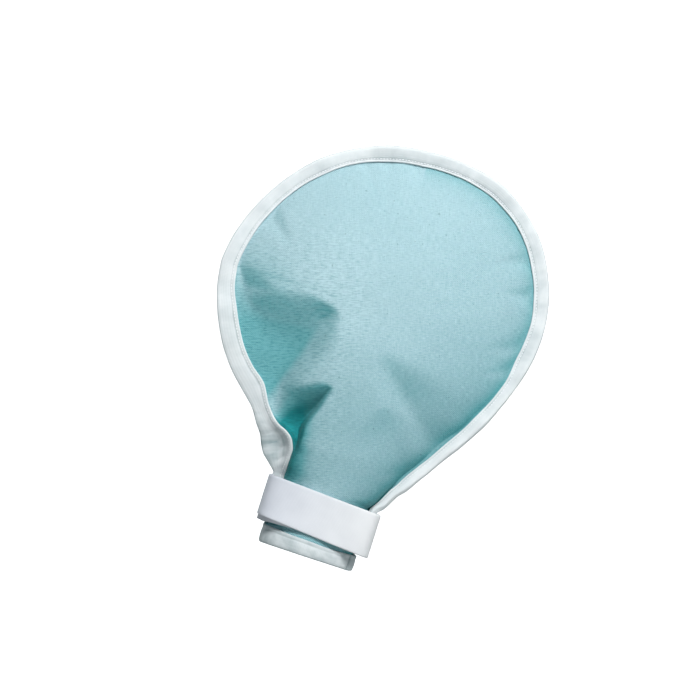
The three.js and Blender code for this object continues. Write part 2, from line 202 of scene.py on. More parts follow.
def teal_cloth():
    cloth = Finish("teal_cloth")
    flat = cloth.flat_cut()
    grain = cloth.stretch(flat, (1, 1, 1), (0, 0, -GRAIN_TURN))

    def threads(stretch):
        return cloth.noise(cloth.stretch(grain, stretch), 1.0, 2.0, 0.6)
    u, v, _ = cloth.axes(grain)
    over = (u * (math.pi / THREAD)).sine() * (v * (math.pi / THREAD)).sine()
    weft, warp = threads(WEFT), threads(WARP)
    cloud = cloth.noise(grain, 26.0, 3.0, 0.5)
    slub = ((weft - 0.58) * 6.0).clip()
    thin = ((0.43 - weft) * 6.0).clip()
    fleck = ((cloth.noise(grain, 420.0, 1.0, 0.4) - 0.72) * 14.0).clip()
    x, z, _ = cloth.axes(flat)
    left = ((BUNCHED_FROM_X - x) / BUNCHED_OVER_X).clip()
    bunched = left * ((BUNCHED_FROM_Z - z) / BUNCHED_OVER_Z).clip()
    rib = threads(RIB) - 0.5
    shade = 0.5 + (weft - 0.5) * 1.4 + (warp - 0.5) * 0.9 + (cloud - 0.5) * 0.25
    # The ribs are the cloth's own, but the added 0.24 is painted light that makes the whole bunched zone
    # lighter.
    shade = shade + bunched * (rib * 4.6 + 0.24)
    tone = cloth.blend(shade.clip(), CLOTH_DARK, CLOTH_LIGHT)
    tone = cloth.blend(slub * 0.1, tone, SLUB_TONE)
    tone = cloth.blend(thin * (0.12 + bunched * 0.3), tone, THIN_TONE)
    tone = cloth.blend(fleck * 0.5, tone, FLECK_TONE)
    # Painted shade: the stored "deep" value tints the cloth darker and greener where it is tucked away or
    # turned from the light.
    deep = cloth.stored("deep")
    tone = cloth.tint((deep * 2.0).clip(), tone, PAINTED_SHADE_TINT)
    tone = cloth.tint((deep * 2.0 - 1.0).clip(), tone, PAINTED_DEEP_SHADE_TINT)
    height = over * 0.3 + weft * 1.3 + warp * 0.7 + slub * 0.4 + bunched * rib * 0.7
    rough = (0.60 - slub * 0.08 + (cloud - 0.5) * 0.1).clip()
    cloth.feed(cloth.shader, {"Base Color": tone, "Roughness": rough,
                              "Normal": cloth.bump(height, 1.0, 0.5 * MM),
                              "Specular IOR Level": 0.22, "Sheen Weight": 0.04, "Sheen Roughness": 0.5})
    return cloth.material


TEAL_CLOTH = teal_cloth()
print("made", TEAL_CLOTH.name)

# %% [markdown]
# ## White tape and strap
# The tape is a smooth cotton tape with a fine rib across it. It is greyed in blotches, mostly by painted
# shade, and the stored value says how much. The strap is closer and smoother, with a firm edge, and its
# stored value paints a little shade towards its left. Both stay just below pure white, so that light and
# shade can still be read on them.

# %% White tape and strap
TAPE_RIB, STRAP_TWILL = 0.9 * MM, 1.1 * MM
TAPE_DARK, TAPE_LIGHT = (0.67, 0.70, 0.715, 1), (0.865, 0.875, 0.875, 1)
TAPE_SHADE_GREY = (0.26, 0.33, 0.345, 1)
STRAP_DARK, STRAP_LIGHT = (0.68, 0.685, 0.70, 1), (0.81, 0.81, 0.815, 1)
STRAP_SHADE_TINT = (0.78, 0.80, 0.86, 1)
THREAD_DARK, THREAD_LIGHT = (0.74, 0.76, 0.78, 1), (0.88, 0.89, 0.90, 1)


def white_tape():
    tape = Finish("white_tape")
    run = tape.flat_cut()
    u, v, _ = tape.axes(run)
    turns = 2 * math.pi / TAPE_RIB
    rib = (u * turns).sine() * 0.5 + (v * turns).sine() * 0.5
    cloud = tape.noise(run, 55.0, 3.0, 0.55)
    streak = tape.noise(tape.stretch(run, (60, 700, 1)), 1.0, 2.0, 0.5)
    shade = ((cloud - 0.42) * 2.2).clip() * 0.6 + ((streak - 0.45) * 2.0).clip() * 0.4
    tone = tape.blend(shade, TAPE_DARK, TAPE_LIGHT)
    blotch = ((tape.noise(run, 105.0, 2.0, 0.55) - 0.36) * 3.2).clip()
    # Painted shade: the stored value greys the tape in blotches.
    mottled_shade = (tape.stored("deep") * (0.2 + blotch + streak * 0.6)).clip()
    tone = tape.blend(mottled_shade, tone, TAPE_SHADE_GREY)
    height = rib * 0.3 + streak * 0.8 + cloud
    tape.feed(tape.shader, {"Base Color": tone, "Roughness": (0.78 + cloud * 0.15).clip(),
                            "Normal": tape.bump(height, 0.3, 0.4 * MM),
                            "Specular IOR Level": 0.25, "Sheen Weight": 0.1})
    return tape.material


def white_strap():
    strap = Finish("white_strap")
    run = strap.flat_cut()
    u, v, _ = strap.axes(run)
    twill = ((u + v * 0.6) * (2 * math.pi / STRAP_TWILL)).sine()
    cloud = strap.noise(run, 38.0, 3.0, 0.5)
    tone = strap.blend(((cloud - 0.35) * 1.8).clip(), STRAP_DARK, STRAP_LIGHT)
    # Painted shade: the stored value makes the strap greyer and cooler towards its left.
    tone = strap.tint(strap.stored("deep"), tone, STRAP_SHADE_TINT)
    height = twill * 0.25 + cloud * 0.5
    strap.feed(strap.shader, {"Base Color": tone, "Roughness": (0.6 + cloud * 0.18).clip(),
                              "Normal": strap.bump(height, 0.18, 0.3 * MM),
                              "Specular IOR Level": 0.3, "Sheen Weight": 0.08})
    return strap.material


def white_thread():
    thread = Finish("white_thread")
    place = thread.node("ShaderNodeTexCoord", None, None, output=3)
    twist = thread.noise(place, 2600.0, 1.0, 0.5)
    tone = thread.blend(twist, THREAD_DARK, THREAD_LIGHT)
    thread.feed(thread.shader, {"Base Color": tone, "Roughness": (0.55 + twist * 0.2).clip(),
                                "Specular IOR Level": 0.35})
    return thread.material


WHITE_TAPE = white_tape()
WHITE_STRAP = white_strap()
WHITE_THREAD = white_thread()
print("made", WHITE_TAPE.name, WHITE_STRAP.name, WHITE_THREAD.name)

# %% [markdown]
# ## The outline in tables
# Cloth like this is cut from a paper pattern, so the outline is a table of sections: where the seam runs
# and where the outer fold of the tape lies. The lower part has one row for each section, and the round
# end is given by its radius, by how far the tape tips forward and by the tape's width. DEPTH says how far
# the panels bulge, and LEAN how far the mitt bends forward. All sizes are millimetres until a mesh is made.

# %% Tables of the outline
def table(columns, rows):
    return {name: np.array([row[i] for row in rows], float) for i, name in enumerate(columns.split())}


EDGE = "x y z out_x out_y out_z crease"
LEFT = table(EDGE, [
    (-32.0, 0, 1.3, -32.8, 0, 1.3, 0),
    (-32.0, 0, 13.6, -32.8, 0, 13.6, 0),
    (-30.0, 0, 15.2, -36.5, 1, 15.2, 0),
    (-30.0, 0, 22, -38.2, 0, 22, 0),
    (-30.0, 0, 34, -38.3, 0, 34, 0),
    (-30.0, 0, 44.5, -38.3, 0, 44.5, 0),
    (-30.0, -1, 50, -38.5, -1, 50, 0.5),
    (-29.5, -7, 60, -43, -2, 55.5, 2),
    (-29.0, -10, 69, -49, -2, 61, 4),
    (-31.0, -11, 76, -52.5, -2, 67, 5),
    (-36.0, -9, 81.5, -55, -1, 73, 4),
    (-45.0, -6, 85.6, -60, 0, 80, 2.5),
    (-54.6, -3, 95.1, -66, 0, 89.3, 1),
    (-63.2, -1, 109.0, -77, 0, 100, 0),
    (-74.0, 0, 117.7, -87, 0, 110, 0),
    (-85.5, 0, 131.6, -98.5, 0, 125.5, 0),
    (-95.9, 0, 151, -109, 0, 147, 0),
    (-102.4, 0, 167.3, -114.8, 0, 165.5, 0),
    (-105.0, 0, 181, -117, 0, 181, 0),
])
RIGHT = table(EDGE, [
    (32.0, 0, 1.3, 32.8, 0, 1.3, 0),
    (32.0, 0, 13.6, 32.8, 0, 13.6, 0),
    (34.0, 0, 15.2, 37, -2.5, 15.2, 0),
    (35.0, 0, 22, 38, -3.5, 22, 0),
    (35.6, 0, 34, 38.2, -3.5, 34, 0),
    (36.0, 0, 44.5, 38.4, -3.5, 44.5, 0),
    (39.5, 0, 51, 43.6, -3.5, 50, 0),
    (45.0, 0, 62, 50, -3.5, 61, 0),
    (48.3, 0, 67, 53.7, -3.5, 65.2, 0),
    (50.8, 0, 72, 57, -3.5, 70, 0),
    (53.8, 0, 78, 60.2, -3.5, 74.6, 0),
    (58.2, 0, 85, 64.5, -3.5, 80.7, 0),
    (63.4, 0, 92.5, 69.6, -3.5, 89.2, 0),
    (68.6, 0, 101, 75.2, -3.5, 98, 0),
    (75.0, 0, 111, 81.7, -3.5, 108, 0),
    (84.0, 0, 127, 91.2, -3.5, 124.2, 0),
    (93.8, 0, 149, 101.3, -2.8, 146.8, 0),
    (98.6, 0, 166, 107.5, -2.2, 164.8, 0),
    (100.5, 0, 181, 111, -1.8, 181, 0),
])
ROUND_END = table("angle radius lean tape", [
    (-90, 114, 0, 12), (-60, 111.3, -0.5, 11), (-30, 113, -2.2, 10.5), (0, 115.5, -2.8, 10.5),
    (15, 119.2, -2.6, 10.5), (30, 123, -1.8, 10.5), (45, 123.6, -1.2, 10.5), (60, 121.4, -1.2, 10.5),
    (75, 118.4, -1.5, 10.5), (90, 114, -1.8, 10.5),
])
DEPTH = table("z front back round dome", [
    (0, 22, 22, 0.5, 2), (44, 22, 22, 0.5, 2), (80, 23, 26.5, 0.58, 2), (110, 24, 31, 0.72, 2.1),
    (140, 24.5, 34, 0.9, 2.2), (160, 25, 36, 1, 2.3), (181, 25, 36, 1, 2.3),
])
LEAN = table("z y", [
    (0, 0), (46, 0), (60, -2), (80, -7), (110, -14), (135, -18.5), (155, -20), (181, -20), (300, -20),
])
BULB_X, BULB_Z = -3.0, 181.0
print(f"{len(LEFT['x'])} sections below the round end")

# %% [markdown]
# ## Reading between the rows
# `flow` follows a table column smoothly and never overshoots a row, so a straight stretch stays
# straight. The border of the mitt then becomes one long path: up the left edge, over the top and down
# the right edge. The panels' edges and the tape both follow it, which keeps them together. All pieces are
# built upright. `worn` moves their points at the end: it bends the mitt forward and lifts the cuff's front.

# %% The border path
PITCH = 1.4
CUFF_HALF, CUFF_DEPTH = 31.8, 22.0
FRONT_LIFT, LIFT_ENDS = 2.2, 14.0


def flow(values, at):
    at = np.asarray(at, float)
    i = np.clip(np.floor(at).astype(int), 0, len(values) - 2)
    f = at - i
    step = np.diff(values)
    both = step[:-1] * step[1:]
    total = np.where(np.abs(step[:-1] + step[1:]) > 1e-9, step[:-1] + step[1:], 1)
    slope = np.concatenate([step[:1], np.where(both > 0, 2 * both / total, 0), step[-1:]])
    a, b, p, q = values[i], values[i + 1], slope[i], slope[i + 1]
    bend = (3 * (b - a) - 2 * p - q) * f ** 2 + (p + q - 2 * (b - a)) * f ** 3
    return a + p * f + bend


def look_up(rows, key, at, name):
    return flow(rows[name], np.interp(at, rows[key], np.arange(len(rows[key]))))


def worn(spots):
    spots = np.array(spots, float)
    _, y, z = np.moveaxis(spots, -1, 0)
    lift = FRONT_LIFT * np.clip(-y / CUFF_DEPTH, 0, 1) * np.clip(1 - z / LIFT_ENDS, 0, 1)
    spots[..., 1] += look_up(LEAN, "z", z, "y")
    spots[..., 2] += lift
    return spots


def points(rows, at, prefix=""):
    return np.stack([flow(rows[prefix + axis], at) for axis in "xyz"], -1)


def section_steps():
    seams = np.stack([LEFT["x"], LEFT["y"], LEFT["z"]], -1)
    reach = np.linalg.norm(np.diff(seams, axis=0), axis=1)
    steps = np.maximum(1, np.round(reach / PITCH)).astype(int)
    return np.concatenate([i + np.arange(n) / n for i, n in enumerate(steps)] + [[len(steps)]])


SECTIONS = section_steps()
LOW = len(SECTIONS)
TOP = 60
COLUMNS = 170
ROWS = LOW + TOP


def disc(u, v):
    x = u * np.sqrt(1 - v * v / 2)
    z = v * np.sqrt(1 - u * u / 2)
    return np.arctan2(x, z), np.minimum(np.hypot(x, z), 1)


def round_end(angle):
    return (look_up(ROUND_END, "angle", np.degrees(angle), name) for name in ("radius", "lean", "tape"))


def round_edge(angle):
    radius, lean, tape_width = round_end(angle)

    def ring(r, y):
        return np.stack([BULB_X + r * np.sin(angle), y, BULB_Z + r * np.cos(angle)], -1)
    return ring(radius - tape_width, 0 * lean), ring(radius, lean)


rise = np.arange(1, TOP + 1) / TOP
left_angle, _ = disc(-1.0, rise)
right_angle, _ = disc(1.0, rise)
over_angle, _ = disc(np.arange(1, COLUMNS) / COLUMNS * 2 - 1, 1.0)
round_seam, round_out = round_edge(np.concatenate([left_angle, over_angle, right_angle[::-1]]))
seam = np.concatenate([points(LEFT, SECTIONS), round_seam, points(RIGHT, SECTIONS[::-1])])
out = np.concatenate([points(LEFT, SECTIONS, "out_"), round_out, points(RIGHT, SECTIONS[::-1], "out_")])
crease = np.concatenate([flow(LEFT["crease"], SECTIONS), np.zeros(len(round_seam)),
                         flow(RIGHT["crease"], SECTIONS[::-1])])
BORDER = len(seam)
run = np.concatenate([[0], np.cumsum(np.linalg.norm(np.diff(seam, axis=0), axis=1))])
print(f"border path {run[-1]:.0f} mm long in {BORDER} stations")

# %% [markdown]
# ## The flat edge
# Beyond the seam both panels and the tape lie flat on each other. Real tape is never quite even, so slow
# waves lift the outer fold a little, and at the left of the neck a crease runs along the tape, where it
# curls before the strap. `edge_point` gives any place on this flat edge: part 0 is the seam, 1 the fold.

# %% The flat edge
WAVES = table("length height shift", [(63, 0.9, 0.4), (41, 0.6, 2.1), (23, 0.35, 4.0)])
CREASE_AT = 0.47
WRINKLE_PITCH, WRINKLE_SHARE = 8.5, 0.16
FREE_FROM, FREE_OVER = 54, 20
FACE_STEP = 0.12


def unit(vectors):
    return vectors / np.linalg.norm(vectors, axis=-1, keepdims=True)


def facing_front(normals):
    return np.where(normals[..., 1:2] > 0, -normals, normals)


free = np.clip((seam[:, 2] - FREE_FROM) / FREE_OVER, 0, 1)
ripple = sum(h * np.sin(2 * np.pi * run / length + s)
             for length, h, s in zip(WAVES["length"], WAVES["height"], WAVES["shift"]))
out[:, 1] += ripple * free
width = np.linalg.norm(out - seam, axis=1)
across = unit(out - seam)
flat_face = facing_front(unit(np.cross(np.gradient(seam, axis=0), across)))


def edge_middle(part):
    bend = np.where(part < CREASE_AT, part / CREASE_AT, (1 - part) / (1 - CREASE_AT))
    bend = np.clip(bend, 0, 1) ** 2 * (3 - 2 * np.clip(bend, 0, 1))
    wrinkle = 1 + WRINKLE_SHARE * np.sin(2 * np.pi * run / WRINKLE_PITCH + 9 * part)
    return seam + across * (width * part)[:, None] - flat_face * (crease * bend * wrinkle)[:, None]


def edge_face(part):
    along = np.gradient(edge_middle(part), axis=0)
    aside = edge_middle(np.minimum(part + FACE_STEP, 1)) - edge_middle(np.maximum(part - FACE_STEP, 0))
    return facing_front(unit(np.cross(along, aside)))


def edge_point(part, height):
    part = np.broadcast_to(np.asarray(part, float), (BORDER,))
    height = np.broadcast_to(np.asarray(height, float), (BORDER,))
    return edge_middle(part) + edge_face(part) * height[:, None]


print(f"tape {width[LOW:-LOW].mean():.1f} mm wide on the round end")

# %% [markdown]
# ## Folds and puckers
# The pouch is not filled out, so the slack cloth dents in. A cloth simulation would make folds, but not
# these ones, so each fold is written down as a table instead. A fold is a valley that starts at a tip
# and deepens towards the seam. Its table gives points of the valley, how far the cloth takes to fall into
# it on the right of the path and to rise again on the left, how deep it is and how softly the fall begins.
# The bottom of a valley is rounded. Small folds of the same kind are the puckers along the stitched seam.

# %% Folds and puckers
FOLD = "x z right left depth soft"
FOLDS = [table(FOLD, rows) for rows in (
    [(-29, 172, 3, 6, 0, 0.06), (-36, 163, 20, 14, 7, 0.08), (-42, 153, 34, 20, 12, 0.12),
     (-48, 142, 48, 25, 17, 0.24), (-55, 128, 64, 27, 21, 0.34), (-63, 108, 82, 25, 23, 0.36)],
    [(-17, 121, 5, 3, 0, 0.05), (-20, 114, 12, 3.5, 6.5, 0.06), (-24, 103, 21, 4, 15, 0.08),
     (-30, 87, 26, 4, 22, 0.06), (-31, 73, 28, 5, 22, 0.06)],
    [(9, 151, 6, 6, 0, 0.08), (24, 136, 11, 18, 2.9, 0.12), (38, 123, 15, 26, 5, 0.12),
     (55, 107, 17, 32, 5.2, 0.12), (68, 91, 16, 34, 4, 0.12)],
    [(20, 117, 7, 7, 0, 0.1), (31, 101, 20, 16, 3.7, 0.16), (46, 80, 26, 20, 5.2, 0.16)],
)]
PUCKERS = [table(FOLD, rows) for rows in (
    [(62, 233, 2, 2, 0, 0.1), (92, 248, 8, 12, 2.6, 0.1)],
    [(72, 217, 2, 2, 0, 0.1), (101, 222, 8, 12, 2.4, 0.1)],
    [(76, 176, 2, 2, 0, 0.1), (104, 189, 9, 13, 1.5, 0.14)],
    [(78, 160, 2, 2, 0, 0.1), (102, 171, 8, 10, 1.3, 0.14)],
    [(-72, 205, 2, 2, 0, 0.1), (-98, 224, 8, 12, 2.6, 0.1)],
    [(-76, 172, 3, 3, 0, 0.1), (-90, 171, 9, 10, 1.8, 0.14), (-107, 170, 15, 13, 3.2, 0.14)],
    [(-26, 254, 2, 2, 0, 0.1), (-44, 280, 12, 7, 2.2, 0.1)],
    [(3, 262, 2, 2, 0, 0.1), (-8, 289, 7, 10, 2.2, 0.1)],
    [(-16, 240, 2, 2, 0, 0.1), (-27, 286, 8, 8, 1.4, 0.1)],
)]
PATH_STEPS = 80
BOTTOM_SHARE, BOTTOM_MOST = 0.3, 6.0


def fold_depth(rows, x, z, power=1.25, rising=2):
    at = np.linspace(0, len(rows["x"]) - 1, PATH_STEPS)
    path = np.stack([flow(rows["x"], at), flow(rows["z"], at)], -1)
    ahead = unit(np.gradient(path, axis=0))
    gap = np.stack([x.ravel(), z.ravel()], -1)[:, None, :] - path[None, :, :]
    nearest = np.argmin((gap ** 2).sum(-1), axis=1)
    gap = gap[np.arange(len(nearest)), nearest]
    right = gap[:, 0] * ahead[nearest, 1] - gap[:, 1] * ahead[nearest, 0]
    away = np.hypot(gap[:, 0], gap[:, 1])
    left_reach = flow(rows["left"], at)[nearest]
    reach = np.where(right > 0, flow(rows["right"], at)[nearest], left_reach)
    soft = flow(rows["soft"], at)[nearest]
    bottom = np.minimum(BOTTOM_SHARE * left_reach, BOTTOM_MOST)
    wall = 1 - (np.hypot(away, bottom) - bottom) / reach
    fall = (soft * np.logaddexp(0, wall / soft)) ** power
    rise_back = np.clip(wall, 0, 1) ** rising
    return (flow(rows["depth"], at)[nearest] * np.where(right > 0, fall, rise_back)).reshape(x.shape)


print(f"{len(FOLDS)} folds and {len(PUCKERS)} puckers")

# %% [markdown]
# ## The two cloth panels
# A panel is a grid of points that runs from the left seam to the right seam. At the neck its section is a
# half tube, and in the round end it is a shallow bowl. The folds dent the front panel, at most about as far
# as the middle of the pouch. A strip of flat edge is added all round, where the panel lies inside the tape.
# The second wall of the cloth comes from moving each point along its normal. A Solidify modifier could do
# that as well, but here the walls have to meet the tape exactly.

# %% Panel points
PANEL_WALL = 1.0
GAP = 0.3
SEAM_INSET = 0.7
HAIRPIN, HAIRPIN_ENDS, HAIRPIN_FADE = 4.0, 178, 40
BOWL_HALF, BOWL_TALL = 102.8, 105
BOWL_SWELL, BOWL_SWELL_FADE = 0.13, 30
ROOM_LEAST, ROOM_SHARE = 0.01, 1.02
turn_in = np.minimum(SEAM_INSET, 0.25 * width)


def panel_grid(side):
    t = np.linspace(0, 1, COLUMNS + 1)[None, :]
    left, right = seam[:LOW], seam[::-1][:LOW]
    middle_z = (left[:, 2] + right[:, 2]) / 2
    roundness = look_up(DEPTH, "z", middle_z, "round")[:, None]
    low_part = -np.cos(np.pi * t) + (t * 2 - 1 + np.cos(np.pi * t)) * (roundness - 0.5) / 0.5

    def inward(i):
        level = across[i] * (1, 0, 1)
        fade = np.clip((HAIRPIN_ENDS - seam[i][:, 2]) / HAIRPIN_FADE, 0, 1)
        inset = turn_in[i] + HAIRPIN * fade * np.maximum(side * across[i][:, 1], 0)
        return seam[i] - unit(level) * inset[:, None]
    a = inward(np.arange(LOW))[:, None, :]
    b = inward(np.arange(BORDER - 1, BORDER - 1 - LOW, -1))[:, None, :]
    share = ((low_part + 1) / 2)[..., None]
    low = a + (b - a) * share
    low[..., 1:2] = a[..., 1:2] * (1 - share) ** 4 + b[..., 1:2] * share ** 4
    angle, top_part = disc(t * 2 - 1, rise[:, None])
    radius, _, tape_width = round_end(angle)
    reach = top_part * (radius - tape_width - SEAM_INSET)
    top = np.stack([BULB_X + reach * np.sin(angle), 0 * reach, BULB_Z + reach * np.cos(angle)], -1)
    aside, up = top[..., 0] - BULB_X, top[..., 2] - BULB_Z
    swell = BOWL_SWELL * up * np.exp(-up / BOWL_SWELL_FADE)
    evenly = np.hypot(aside / (BOWL_HALF + swell), up / BOWL_TALL)
    top_part = evenly + (top_part - evenly) * top_part ** 3
    grid = np.concatenate([low, top])
    part = np.abs(np.concatenate([low_part, top_part]))
    power = np.concatenate([np.broadcast_to(roundness, low_part.shape), np.ones_like(top_part)])
    level = np.minimum(grid[..., 2], BULB_Z)
    deep = look_up(DEPTH, "z", level, "front" if side < 0 else "back")
    dome = look_up(DEPTH, "z", level, "dome")
    bulge = np.clip(1 - part ** dome, 0, 1) ** power
    grid[..., 1] += side * deep * bulge
    if side < 0:
        dent = sum(fold_depth(rows, grid[..., 0], grid[..., 2]) for rows in FOLDS + PUCKERS)
        room = ROOM_LEAST + ROOM_SHARE * deep * bulge
        grid[..., 1] += dent * room / (dent ** 4 + room ** 4) ** 0.25
    return grid, part


def panel_faces():
    ids = np.arange(ROWS * (COLUMNS + 1)).reshape(ROWS, COLUMNS + 1)
    faces = np.stack([ids[:-1, :-1], ids[:-1, 1:], ids[1:, 1:], ids[1:, :-1]], -1).reshape(-1, 4)
    rim = np.concatenate([ids[:, 0], ids[-1, 1:-1], ids[::-1, -1]])
    return faces, rim


print(f"panel grid {ROWS} by {COLUMNS + 1}")

# %% [markdown]
# ## Painted shade on tucked-away cloth
# The "deep" value of the front panel is painted shade: it says how much of the darker tone each point gets
# for cloth that is turned away from the light above, the slack cloth of the upper fold, the tuck of the lower
# fold, and the strip under the tape's edge at the right. SHADED adds soft spots of painted shade where the
# cloth is packed close: the middle of each, its size and its strength.

# %% How much painted shade the cloth gets
LIT_FROM = unit(np.array([0, -0.8, 0.6]))
LIT_ENOUGH, TURNED_MOST = 0.8, 0.5
SLACK_FULL, SLACK_MOST = 28, 0.48
TUCK_FULL = 110
TAPE_SHADE, TAPE_SHADE_FADE = 0.35, 0.05
BACK_DEEP = 0.2
SHADED = [
    (-28, 62, 9, 18, 0.5), (-34, 88, 9, 13, 0.8), (-40, 80, 9, 11, 0.9), (6, 95, 40, 50, 0.15),
    (70, 185, 45, 60, 0.06), (0, 13, 45, 6, 0.25), (-86, 178, 22, 18, 0.12),
]


def painted_shade_amount(spots, normals, part):
    x, z = spots[:, 0], spots[:, 2]
    turned = np.clip(LIT_ENOUGH - normals @ LIT_FROM, 0, TURNED_MOST)
    slack = np.clip(fold_depth(FOLDS[0], x, z, power=0.7, rising=4.5) / SLACK_FULL, 0, SLACK_MOST)
    tuck = fold_depth(FOLDS[1], x, z, power=0.8) / TUCK_FULL
    for middle_x, middle_z, wide, tall, much in SHADED:
        tuck = tuck + much * np.exp(-((x - middle_x) / wide) ** 2 - ((z - middle_z) / tall) ** 2)
    under_tape_shade = TAPE_SHADE * np.exp((part - 1) / TAPE_SHADE_FADE) * (x > 0)
    return np.clip(np.maximum(turned, slack) + tuck + under_tape_shade, 0, 1)


print(f"{len(SHADED)} shaded spots")

# %% [markdown]
# ## From points to meshes
# `cloth_piece` makes the mesh object: points in metres, smooth shading, a UV map that holds the flat cut,
# the stored "deep" value, mostly painted shade, and the finish. `walled` closes two layers of points into one
# solid cloth.

# %% Mesh makers
def cloth_piece(name, spots, faces, flat_cut, material, deep=0.0):
    mesh = bpy.data.meshes.new(name)
    mesh.from_pydata((worn(spots) * MM).tolist(), [], [list(map(int, f)) for f in faces])
    layer = mesh.uv_layers.new(name="flat_cut")
    corners = np.empty(len(mesh.loops), int)
    mesh.loops.foreach_get("vertex_index", corners)
    layer.data.foreach_set("uv", (np.asarray(flat_cut)[corners] * MM).ravel())
    shade = mesh.attributes.new("deep", "FLOAT", "POINT")
    shade.data.foreach_set("value", np.broadcast_to(np.asarray(deep, float), len(spots)).copy())
    mesh.shade_smooth()
    mesh.materials.append(material)
    piece = bpy.data.objects.new(name, mesh)
    bpy.context.collection.objects.link(piece)
    return piece


def corner_normals(spots, faces):
    quad = spots[faces]
    normal = unit(np.cross(quad[:, 2] - quad[:, 0], quad[:, 3] - quad[:, 1]) + 1e-12)
    total = np.zeros_like(spots)
    for k in range(4):
        np.add.at(total, faces[:, k], normal)
    return unit(total + 1e-12)


def walled(inner, outer, faces):
    shift = len(inner)
    edges = {}
    for face in faces.tolist():
        for k in range(4):
            edges[(face[k], face[(k + 1) % 4])] = True
    rim = [(a, b, b + shift, a + shift) for a, b in edges if (b, a) not in edges]
    return np.concatenate([inner, outer]), faces[:, ::-1].tolist() + (faces + shift).tolist() + rim


EDGE_SHORT = 2.3
CUT_APART = 260.0


def cloth_panel(name, side):
    faces, rim = panel_faces()
    grid, part = panel_grid(side)
    spots = grid.reshape(-1, 3)
    spots[rim] = seam - across * turn_in[:, None] - side * edge_face(np.zeros(BORDER)) * GAP / 2
    ends = np.maximum(width - EDGE_SHORT, 0.6 * width) / width
    rings = [rim]
    flat = [spots]
    for share in (0, 0.25, 0.5, 0.75, 1):
        rings.append(np.arange(BORDER) + sum(map(len, flat)))
        flat.append(edge_point(share * ends, -side * GAP / 2))
    spots = np.concatenate(flat)
    strips = [np.stack([a[:-1], a[1:], b[1:], b[:-1]], -1) for a, b in zip(rings, rings[1:])]
    faces = np.concatenate([faces] + strips)
    normals = -side * corner_normals(spots, faces)
    outer = spots + normals * PANEL_WALL
    flat_cut = np.concatenate([spots, outer])[:, [0, 2]] + ((side + 1) * CUT_APART / 2, 0)
    solid, all_faces = walled(spots, outer, faces)
    if side > 0:
        all_faces = [face[::-1] for face in all_faces]
    part = np.concatenate([part.ravel(), np.ones(len(spots) - part.size)])
    # The front panel's stored value is painted shade; the back panel gets the even amount BACK_DEEP.
    deep = painted_shade_amount(spots, normals, part) if side < 0 else np.full(len(spots), BACK_DEEP)
    return cloth_piece(name, solid, all_faces, flat_cut, TEAL_CLOTH, np.tile(deep, 2))


front = cloth_panel("front_cloth", -1)
back = cloth_panel("back_cloth", 1)
print(f"front {len(front.data.polygons)} faces, back {len(back.data.polygons)} faces")

# %% [markdown]
# ## Edge tape
# The tape is folded over the panels' edges like a long letter U. A curve with a bevel would give an even
# tape, and this one isn't even, so a section is swept along the border instead. It is a table: how far across
# each point lies, how high it stands over the middle and how much painted shade it gets at its inner edge and
# in the groove. The row of stitches presses a shallow groove near the inner edge, and the tape swells a
# little on both sides of it. TAPE_GREY says how much painted shade greys the tape on its way round, heaviest
# along the middle of the tape. The curl at the left of the neck is painted greyer still as shade, with its
# inner lobe and its lip left lighter and a shaded line along its tuck.

# %% Edge tape
TAPE_SECTION = table("part height deep", [
    (0.0, 1.55, 0.3), (-0.012, 1.85, 0), (0.0, 2.2, 0), (0.03, 2.42, 0), (0.10, 2.28, 0), (0.16, 2.02, 0.35),
    (0.20, 1.94, 0.5), (0.24, 2.02, 0.35), (0.27, 2.18, 0.1), (0.31, 2.3, 0), (0.37, 2.4, 0), (0.47, 2.45, 0),
    (0.62, 2.42, 0), (0.80, 2.32, 0), (0.92, 2.1, 0), (0.975, 1.6, 0), (1.0, 0.8, 0), (1.0, 0.0, 0),
])
TAPE_GREY = table("way grey", [
    (0, 0.05), (0.25, 0.2), (0.4, 0.18), (0.5, 0.22), (0.6, 0.28), (0.74, 0.26), (0.84, 0), (1, 0),
])
TAPE_FIRST = int(np.searchsorted(SECTIONS, 2))
TAPE_INSIDE, TAPE_INSIDE_ENDS = 1.4, 0.88
GROOVE_SHADE = 0.6
BAND_MIDDLE, BAND_HALF, BAND_LEAST = 0.52, 0.42, 0.45
CURL_FULL, CURL_SHADE = 4.0, 0.72
LOBE_ENDS, LOBE_FADE, LOBE_LESS_SHADE = 0.55, 0.12, 0.4
TUCK_LINE, TUCK_LINE_WIDE, TUCK_LINE_SHADE = 0.29, 0.035, 0.32
RIM_WIDE, RIM_LESS_SHADE = 0.08, 0.25


def swept(stations, ring=False):
    count, size = stations.shape[:2]
    ids = np.arange(count * size).reshape(count, size)
    nxt = np.roll(ids, -1, 0) if ring else ids[1:]
    now = ids if ring else ids[:-1]
    faces = np.stack([now, nxt, np.roll(nxt, -1, 1), np.roll(now, -1, 1)], -1).reshape(-1, 4).tolist()
    if not ring:
        faces += [ids[0].tolist(), ids[-1][::-1].tolist()]
    return stations.reshape(-1, 3), faces


